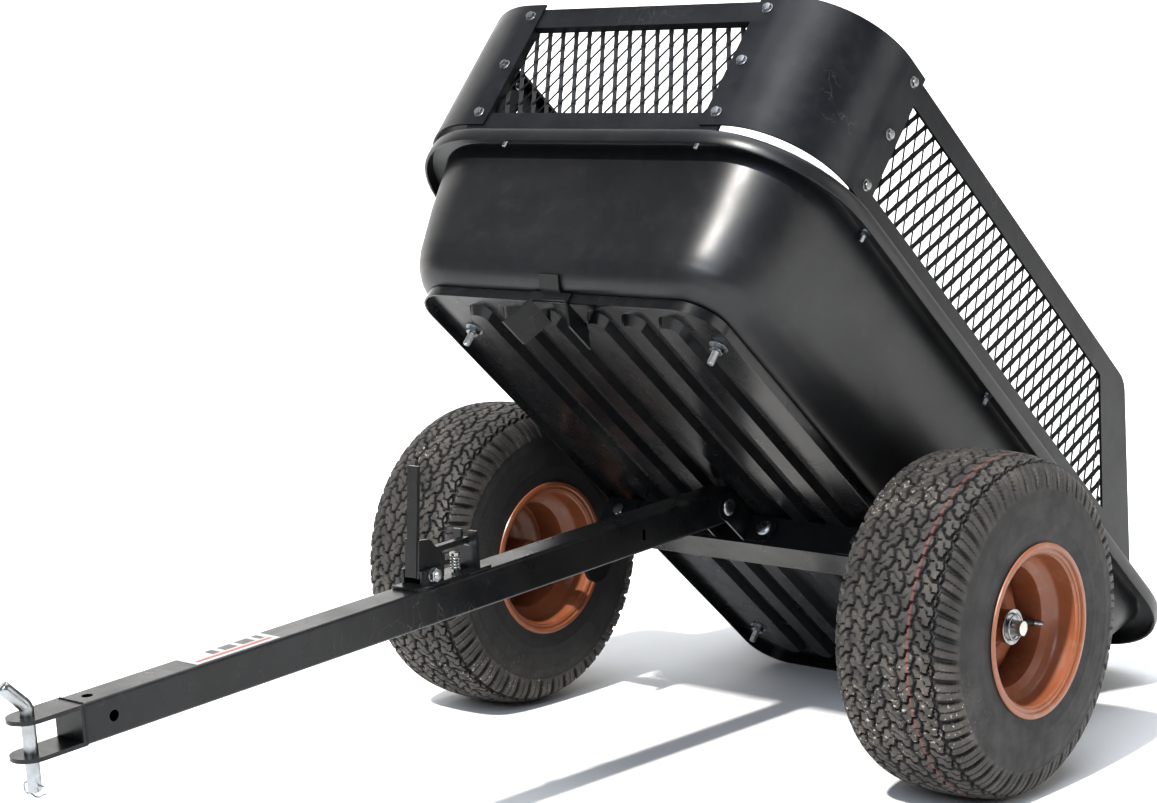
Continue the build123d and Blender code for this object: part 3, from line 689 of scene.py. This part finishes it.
# ------------------------------------------------------------------ tub
def rr_pts(hw, v0, v1, r, w, nc=14, ns=(10, 16)):
    """rounded rectangle loop, same count at every size"""
    out = []
    cs = [(hw - r, v1 - r, 0), (-(hw - r), v1 - r, 90), (-(hw - r), v0 + r, 180), (hw - r, v0 + r, 270)]
    for i, (cxx, cyy, a0) in enumerate(cs):
        for k in range(nc + 1):
            q = math.radians(a0 + 90 * k / nc)
            out.append((cxx + r * math.cos(q), cyy + r * math.sin(q), w))
        nx = cs[(i + 1) % 4]
        q1 = math.radians(a0 + 90)
        p1 = (cxx + r * math.cos(q1), cyy + r * math.sin(q1))
        q2 = math.radians(nx[2])
        p2 = (nx[0] + r * math.cos(q2), nx[1] + r * math.sin(q2))
        n = ns[0] if i % 2 == 0 else ns[1]
        for k in range(1, n):
            t = k / n
            out.append((p1[0] * (1 - t) + p2[0] * t, p1[1] * (1 - t) + p2[1] * t, w))
    return out


def tub_section(w, off):
    """outer skin of the tub's body at height w"""
    K = [(14.5, 250, 6, 1012, 68), (17.5, 262, -8, 1028, 75), (23, 270, -15, 1036, 79), (30, 277, -21, 1043, 82), (45, 288, -29, 1053, 88),
         (65, 297, -35, 1065, 95), (130, 314.2, -45.1, 1105, 108), (213, 333, -58, 1156, 130)]
    ws = [k[0] for k in K]
    vals = [np.interp(w, ws, [k[i] for k in K]) for i in range(1, 5)]
    hw, v0, v1, r = vals
    return (hw - off, v0 + off, v1 - off, r - off)


def build_tub():
    loops = []
    for w in (14.5, 15.2, 16.0, 17.5, 19.5, 23, 26, 30, 34, 39, 45, 51, 58, 66, 78, 95, 110, 130, 145, 165, 180, 195, 203):
        loops.append(rr_pts(*tub_section(w, 0), w))
    loops.append(rr_pts(332.4, -57.2, 1154, 130, 209))
    loops.append(rr_pts(334.5, -59.0, 1158, 133, 212.2))
    loops.append(rr_pts(338, -62, 1163, 140, 213))
    loops.append(rr_pts(357, -78.5, 1182, 165, 213))
    loops.append(rr_pts(361.5, -82.5, 1187.2, 168, 211.6))
    loops.append(rr_pts(362.8, -83.8, 1188.6, 169, 208))
    loops.append(rr_pts(362.8, -83.8, 1188.8, 169, 198))
    loops.append(rr_pts(363.6, -84.6, 1189.6, 170, 196.3))
    loops.append(rr_pts(366.6, -87.4, 1192.6, 173, 196.2))
    loops.append(rr_pts(367.7, -88.7, 1193.7, 174, 198.0))
    loops.append(rr_pts(367.8, -88.8, 1193.8, 174, 211.0))
    loops.append(rr_pts(366.9, -87.9, 1192.9, 173.2, 215.2))
    loops.append(rr_pts(364.2, -85.2, 1190.2, 170.5, 217.6))
    loops.append(rr_pts(360.5, -81.5, 1186.5, 167, 218.0))
    loops.append(rr_pts(333.5, -58.5, 1156.5, 131, 218.0))
    loops.append(rr_pts(329.5, -54.5, 1152.5, 127, 217.0))
    loops.append(rr_pts(326.4, -51.4, 1149.4, 123.5, 214.0))
    for w in (208, 195, 180, 165, 145, 130, 110, 95, 80, 72, 64, 57, 51, 46, 42, 38, 34, 31, 28.5, 26.5, 25.2, 24.0, 23.1, 22.6):
        loops.append(rr_pts(*tub_section(max(w - 8.0, 14.5), 8.0), w))
    n = len(loops[0])
    vs = [p for l in loops for p in l]
    fs = []
    for i in range(len(loops) - 1):
        for k in range(n):
            k2 = (k + 1) % n
            fs.append((i * n + k, i * n + k2, (i + 1) * n + k2, (i + 1) * n + k))
    fs.append(tuple(range(n))[::-1])
    fs.append(tuple((len(loops) - 1) * n + k for k in range(n)))
    make("tub_moulded", vs, fs, "tub_plastic", "bed", ["tub"], xf=BED, smooth=38)


build_tub()


# ------------------------------------------------------------------ expanded metal
def clip_seg(p, q, poly):
    """clip a 2-D segment to a convex polygon"""
    t0, t1 = 0.0, 1.0
    n = len(poly)
    area = sum(poly[i][0] * poly[(i + 1) % n][1] - poly[(i + 1) % n][0] * poly[i][1] for i in range(n))
    sg = 1 if area > 0 else -1
    for i in range(n):
        ax, ay = poly[i]
        bx_, by_ = poly[(i + 1) % n]
        ex, ey = bx_ - ax, by_ - ay
        f0 = sg * (ex * (p[1] - ay) - ey * (p[0] - ax))
        f1 = sg * (ex * (q[1] - ay) - ey * (q[0] - ax))
        if f0 < 0 and f1 < 0:
            return None
        if f0 < 0 or f1 < 0:
            t = f0 / (f0 - f1)
            if f0 < 0:
                t0 = max(t0, t)
            else:
                t1 = min(t1, t)
    if t1 - t0 < 0.04:
        return None
    return ((p[0] + (q[0] - p[0]) * t0, p[1] + (q[1] - p[1]) * t0), (p[0] + (q[0] - p[0]) * t1, p[1] + (q[1] - p[1]) * t1))


def build_mesh(name, poly, to3, nrm, repl, body="bed"):
    """strands run at an angle either side of the long way of the diamonds; each strand is a flat bar turned on edge"""
    G = Geo()
    a0, a1 = min(p[0] for p in poly), max(p[0] for p in poly)
    b0, b1 = min(p[1] for p in poly), max(p[1] for p in poly)
    SWD, LWD = 24.0, 48.0
    st_w, st_t = 5.9, 2.2
    nb = int((b1 - b0) / (LWD / 2)) + 3
    na = int((a1 - a0) / SWD) + 3
    for j in range(-1, nb):
        for i in range(-1, na):
            a = a0 + i * SWD + (SWD / 2 if j % 2 else 0)
            b = b0 + j * LWD / 2 + 6.0
            for sg in (1, -1):
                seg = clip_seg((a, b), (a + sg * SWD / 2, b + LWD / 2), poly)
                if not seg:
                    continue
                p, q = (Vector(to3(*seg[0])), Vector(to3(*seg[1])))
                d = (q - p).normalized()
                N = Vector(nrm)
                side = d.cross(N)
                tw = math.radians(34 * sg)
                wdir = side * math.cos(tw) + N * math.sin(tw)
                tdir = N * math.cos(tw) - side * math.sin(tw)
                e = d * 0.9
                vs = []
                for base, ex, ww in ((p, -1, st_w * 1.18), (p.lerp(q, 0.28), 0, st_w * 0.94), (p.lerp(q, 0.72), 0, st_w * 0.94), (q, 1, st_w * 1.18)):
                    for (u, v) in ((-1, -1), (1, -1), (1, 1), (-1, 1)):
                        vs.append(base + e * ex + wdir * (u * ww / 2) + tdir * (v * st_t / 2))
                fs = [(0, 3, 2, 1), (12, 13, 14, 15)]
                for r in range(3):
                    for k in range(4):
                        k2 = (k + 1) % 4
                        fs.append((r * 4 + k, r * 4 + k2, (r + 1) * 4 + k2, (r + 1) * 4 + k))
                G.add(vs, fs)
    make(name, G.v, G.f, "mesh_steel", body, [repl], xf=BED, smooth=None)


build_mesh("front_expanded_mesh", [(-193, 244), (193, 244), (193, 399), (-193, 399)], lambda a, b: (a, -81.5 + 12 + 1.25, b), (0, 1, 0), "front_mesh")
for sd, nm in ((1, "left"), (-1, "right")):
    build_mesh("side_expanded_mesh_" + nm, [(89, 247), (849.5, 247), (716, 398), (89, 398)], lambda a, b, s=sd: (s * (348.6 - 4 - 1.25), a, b), (1, 0, 0), "side_mesh_" + nm)


# ------------------------------------------------------------------ fasteners
def up(v):
    return Vector(v)


Z = Geo()   # all bolts of the lip
for (u, v) in [(-142, -71), (188, -71)] + [(s * 338.8, v) for s in (-1, 1) for v in (119, 494, 850)]:
    Z.hexhead(axis_xf((u, v, 222), (0, 0, 1)), 10, 4.0)
    washer(Z, (u, v, 213), (0, 0, -1), 7.2, 1.0, 3.1)
    Z.hexhead(axis_xf((u, v, 212.0), (0, 0, -1)), 10, 5.6, hole=3.2)
    thread(Z, (u, v, 207.2), (0, 0, -1), 10.2, 3.0, 1.0, 14)
    Z.lathe([(0, 2.95), (14, 2.95)], 12, axis_xf((u, v, 207), (0, 0, 1)))
make("rail_bolts_detail", Z.v, Z.f, "zinc", "bed", ["rail_bolts"], xf=BED, smooth=30)
Z = Geo()
for (u, v) in [(s * 214, v) for s in (-1, 1) for v in (97.5, 926)]:
    Z.hexhead(axis_xf((u, v, 22.6), (0, 0, 1)), 17, 6.0)
    washer(Z, (u, v, 12.0), (0, 0, -1), 13.0, 1.6, 5.1)
    Z.hexhead(axis_xf((u, v, 10.4), (0, 0, -1)), 17, 7.2, hole=5.3)
    thread(Z, (u, v, 3.4), (0, 0, -1), 19.2, 5.0, 1.5, 20)
    Z.lathe([(0, 4.9), (19.6, 4.9)], 16, axis_xf((u, v, 3), (0, 0, 1)))
make("pan_bolts_detail", Z.v, Z.f, "zinc", "bed", ["pan_bolts"], xf=BED, smooth=30)
Z = Geo()
for s in (-1, 1):
    for w in (246, 329, 415):
        washer(Z, (s * 206, -84.0, w), (0, -1, 0), 7.6, 1.0, 3.0)
        Z.hexhead(axis_xf((s * 206, -85.0, w), (0, -1, 0)), 11, 4.0)
        Z.hexhead(axis_xf((s * 206, -77.5, w), (0, 1, 0)), 11, 5.0, hole=3.2)
        thread(Z, (s * 206, -73, w), (0, 1, 0), 7.4, 3.0, 1.0, 14)
    for w in (249, 330, 415):
        washer(Z, (s * 351.1, 68, w), (s, 0, 0), 7.6, 1.0, 3.0)
        Z.hexhead(axis_xf((s * 352.1, 68, w), (s, 0, 0)), 11, 4.0)
        Z.hexhead(axis_xf((s * 344.6, 68, w), (-s, 0, 0)), 11, 5.0, hole=3.2)
        thread(Z, (s * 340, 68, w), (-s, 0, 0), 7.3, 3.0, 1.0, 14)
make("corner_bolts_detail", Z.v, Z.f, "zinc", "bed", ["corner_bolts"], xf=BED, smooth=30)
Z = Geo()
dome = [(0, 12.4), (0.8, 12.5), (1.6, 12.1), (3.0, 10.6), (4.2, 8.0), (4.9, 4.5), (5.1, 0.5)]
Z.lathe([(-0.1, 11.0)] + dome, 40, axis_xf((28.0, PV, PW), (1, 0, 0)))
Z.lathe([(0, 5.95), (56, 5.95)], 24, axis_xf((-28, PV, PW), (1, 0, 0)))
thread(Z, (-28, PV, PW), (-1, 0, 0), 12.0, 6.0, 1.75, 24)
make("pivot_bolt_detail", Z.v, Z.f, "zinc", "bed", ["pivot_bolt"], xf=BED, smooth=40)
Z = Geo()
Z.hexhead(axis_xf((-28, PV, PW), (-1, 0, 0)), 19, 9, hole=6.2)
make("pivot_nut_detail", Z.v, Z.f, "zinc", "bed", ["pivot_nut"], xf=BED, smooth=30)
Z = Geo()
for s in (-1, 1):
    Z.lathe([(-0.1, 11.0)] + dome, 40, axis_xf((s * 52, 520.0, -20), (0, -1, 0)))
    Z.hexhead(axis_xf((s * 52, 528, -20), (0, 1, 0)), 19, 8.8, hole=6.2)
    thread(Z, (s * 52, 535, -20), (0, 1, 0), 5.0, 6.0, 1.75, 24)
make("bracket_bolts_detail", Z.v, Z.f, "zinc", "bed", ["bracket_bolts"], xf=BED, smooth=40)
Z = Geo()
for s in (-1, 1):
    Z.hexhead(axis_xf((s * 214, 520, -23), (0, -1, 0)), 17, 6.4)
    Z.hexhead(axis_xf((s * 214, 528, -23), (0, 1, 0)), 17, 8.0, hole=5.2)
    thread(Z, (s * 214, 535, -23), (0, 1, 0), 3.0, 5.0, 1.5, 20)
make("hanger_bolts_detail", Z.v, Z.f, "zinc", "bed", ["hanger_bolts"], xf=BED, smooth=30)

# axle washers with a turned edge
for s, nm in ((1, "left"), (-1, "right")):
    Z = Geo()
    x0 = TRACK / 2 + 49.3
    Z.lathe([(0, 9.7), (0, 23.5), (0.4, 24), (2.4, 24), (3.0, 23.4), (3.0, 10.6), (2.6, 9.7)], 72, axis_xf((s * x0, WV, WW), (s, 0, 0)), closed=True)
    make("axle_washer_%s_turned" % nm, Z.v, Z.f, "zinc", "bed", ["axle_washer_" + nm], xf=BED, smooth=30)

# hitch pin: one bent rod
Z = Geo()
PY = -1188.0
pts = [(0, PY, -62), (0, PY, -60.5)] + [(0, PY, z) for z in (-50, -30, -10, 10, 25, 29)]
d = Matrix.Rotation(math.radians(-20), 3, "Y") @ Matrix.Rotation(math.radians(38), 3, "X") @ Vector((0, 0, 1))
o0 = Vector((0, PY, H + 7.94 + 2.5))
for k in range(1, 6):
    t = k / 6
    a_ = Vector((0, PY, 29.0))
    b_ = o0 + d * 5.5
    m_ = o0
    pts.append(tuple(a_ * (1 - t) ** 2 + m_ * 2 * t * (1 - t) + b_ * t * t))
pts += [tuple(o0 + d * q) for q in (6, 14, 22, 30, 34.6)] + [tuple(o0 + d * 36)]
rad = [6.4] + [7.92] * (len(pts) - 2) + [6.6]
Z.tube(pts, rad, 28)
make("hitch_pin_bent", Z.v, Z.f, "zinc", "hitch_pin", ["hitch_pin"], xf=TON, smooth=50)
# wire clip
Z = Geo()
ctrl = [(17, -54), (8, -54), (0, -54), (-8, -54), (-14, -54), (-18, -56), (-19.5, -60), (-18, -64.5), (-13.5, -67), (-10, -65.5), (-6, -66.5), (0, -68.2), (6, -67.6), (11, -65), (17.5, -62)]


def catmull(P, n=6):
    out = []
    for i in range(len(P) - 1):
        p0 = P[max(i - 1, 0)]
        p1, p2 = P[i], P[i + 1]
        p3 = P[min(i + 2, len(P) - 1)]
        for k in range(n):
            t = k / n
            out.append(tuple(0.5 * ((2 * p1[c]) + (-p0[c] + p2[c]) * t + (2 * p0[c] - 5 * p1[c] + 4 * p2[c] - p3[c]) * t * t + (-p0[c] + 3 * p1[c] - 3 * p2[c] + p3[c]) * t ** 3) for c in range(len(p1))))
    out.append(tuple(P[-1]))
    return out


Z.tube([(a, PY, b) for a, b in catmull(ctrl)], 1.25, 12)
make("pin_clip_wire", Z.v, Z.f, "zinc", "hitch_pin", ["pin_clip"], xf=TON, smooth=60)

# welds of the clevis and the latch bracket
Z = Geo()
for z in (H + 0.2, -H - 0.2):
    Z.tube([(x, -1129.2 + 0.3 * math.sin(x * 1.7), z * 0.985) for x in range(-20, 21, 1)], 1.7, 8)
for x in (H - 0.1, -H + 0.1):
    Z.tube([(x * 0.99, -1129.2 + 0.3 * math.sin(z * 1.9), z) for z in range(-20, 21, 1)], 1.7, 8)
make("clevis_welds", Z.v, Z.f, "tongue_steel", "tongue", xf=TON, smooth=60)
Z = Geo()
for x in (20.3, -20.3):
    Z.tube([(x, -612 + k * 1.2, H + 0.9 + 0.25 * math.sin(k * 1.9)) for k in range(0, 24)], 1.8, 8)
    Z.tube([(x, -520 + k * 1.2, H + 0.9 + 0.25 * math.sin(k * 1.9)) for k in range(0, 28)], 1.8, 8)
make("latch_welds", Z.v, Z.f, "tongue_steel", "tongue", xf=TON, smooth=60)
# latch bolt
Z = Geo()
LY, LZ = -580.0, 38.0
Z.hexhead(axis_xf((-22, LY, LZ), (-1, 0, 0)), 14, 6)
Z.lathe([(0, 5.0), (42, 5.0)], 20, axis_xf((-22, LY, LZ), (1, 0, 0)))
washer(Z, (18, LY, LZ), (1, 0, 0), 9.0, 1.2, 5.0)
Z.hexhead(axis_xf((19.0, LY, LZ), (1, 0, 0)), 15.4, 6.4, hole=5.2)
thread(Z, (24.8, LY, LZ), (1, 0, 0), 3.4, 5.0, 1.25, 20)
make("latch_bolt_detail", Z.v, Z.f, "zinc", "tongue", ["latch_bolt"], xf=TON, smooth=30)

# ------------------------------------------------------------------ CAD pieces kept: paint, soft edges
paint_cad()
BEV = {"base_pan": 0.0012, "front_panel_frame": 0.0009, "side_panel_frame_left": 0.0009, "side_panel_frame_right": 0.0009, "corner_plate_left": 0.0007, "corner_plate_right": 0.0007,
       "axle_beam": 0.0012, "pivot_bracket_left": 0.0008, "pivot_bracket_right": 0.0008, "axle_hanger_left": 0.0008, "axle_hanger_right": 0.0008, "latch_striker": 0.0006,
       "hitch_clevis": 0.0008, "latch_bracket": 0.0006, "latch_lever": 0.0006, "latch_post": 0.0005, "stub_axle_left": 0.0005, "stub_axle_right": 0.0005, "linch_pin_left": 0.0005, "linch_pin_right": 0.0005}
for n, o in NODES.items():
    if o.hide_render:
        continue
    if n in BEV:
        add_bevel(o, BEV[n], 2, 38)

# ------------------------------------------------------------------ stage
def flat(name, col, rough=0.6):
    m, nt, b = new_mat(name)
    b.inputs["Base Color"].default_value = (*col, 1)
    b.inputs["Roughness"].default_value = rough
    return m


zf = B0[0].z
me = bpy.data.meshes.new("floor")
S_ = 9.0
# floor that curves up into a backdrop away from the camera
fw = Vector((math.sin(0.725), -math.cos(0.725), 0))
rt = Vector((math.cos(0.725), math.sin(0.725), 0))
vs, fs = [], []
prof = [(7.0, 0.0), (-4.2, 0.0)] + [(-4.2 - 2.2 * math.sin(q), 2.2 - 2.2 * math.cos(q)) for q in [math.pi / 2 * k / 12 for k in range(1, 13)]] + [(-6.4, 9.0)]
for (a, z) in prof:
    for b in (-12.0, 12.0):
        p = fw * a + rt * b
        vs.append((p.x, p.y, zf - 0.0004 + z))
for i in range(len(prof) - 1):
    fs.append((2 * i, 2 * i + 1, 2 * i + 3, 2 * i + 2))
me.from_pydata(vs, [], fs)
floor = bpy.data.objects.new("floor", me)
bpy.context.scene.collection.objects.link(floor)
me.materials.append(flat("floor_white", (0.86, 0.86, 0.86), 0.8))
for p in me.polygons:
    p.use_smooth = True


def area(name, loc, target, size, power, col=(1, 1, 1), spread=None):
    L = bpy.data.lights.new(name, "AREA")
    L.shape = "RECTANGLE"
    L.size, L.size_y = size
    L.energy = power
    L.color = col
    o = bpy.data.objects.new(name, L)
    bpy.context.scene.collection.objects.link(o)
    o.location = loc
    o.rotation_mode = "QUATERNION"
    o.rotation_quaternion = (Vector(target) - Vector(loc)).to_track_quat("-Z", "Y")
    return o


def place(a, b, z):
    return fw * a + rt * b + Vector((0, 0, z))


sun = bpy.data.lights.new("sun", "SUN")
sun.energy = 4.6
sun.angle = math.radians(2.2)
sun.color = (1.0, 0.965, 0.91)
so = bpy.data.objects.new("sun", sun)
bpy.context.scene.collection.objects.link(so)
so.rotation_mode = "QUATERNION"
so.rotation_quaternion = (-place(1.15, -0.75, 1.6)).to_track_quat("-Z", "Y")
area("sky_front", place(4.5, -1.5, 3.6), (0, 0, 0.5), (3.5, 3.0), 150, (0.78, 0.87, 1.0))
area("sky_top", place(-0.5, 0.5, 5.0), (0, 0, 0.4), (5.0, 4.0), 170, (0.86, 0.92, 1.0))
area("right_fill", place(1.5, 4.6, 1.8), (0, 0, 0.5), (3.0, 2.4), 45, (1.0, 0.98, 0.95))
w = bpy.data.worlds.new("world")
w.use_nodes = True
bg = w.node_tree.nodes["Background"]
bg.inputs[0].default_value = (0.93, 0.96, 1.0, 1)
bg.inputs[1].default_value = 0.18
bpy.context.scene.world = w

# ------------------------------------------------------------------ camera
cam = bpy.data.cameras.new("cam")
cam.lens = 2593.658 * 36.0 / 1157.0
cam.sensor_width = 36.0
cam.sensor_fit = "HORIZONTAL"
cam.clip_start, cam.clip_end = 0.1, 60
co = bpy.data.objects.new("cam", cam)
bpy.context.scene.collection.objects.link(co)
yaw, pitch, roll = 0.7249913, 0.1384497, -0.0260783
back = Vector((math.sin(yaw) * math.cos(pitch), -math.cos(yaw) * math.cos(pitch), math.sin(pitch)))
right = (-back).cross(Vector((0, 0, 1))).normalized()
upv = right.cross(-back)
r2 = right * math.cos(roll) + upv * math.sin(roll)
u2 = -right * math.sin(roll) + upv * math.cos(roll)
Rm = Matrix((r2, u2, back)).transposed()
co.matrix_world = Matrix.Translation(Vector((2.25006, (-2843.131 + YS) / 1000, 1.000304))) @ Rm.to_4x4()
bpy.context.scene.camera = co
sc = bpy.context.scene
sc.view_settings.view_transform = "Standard"
sc.view_settings.look = "Medium High Contrast"
sc.view_settings.exposure = 0.0
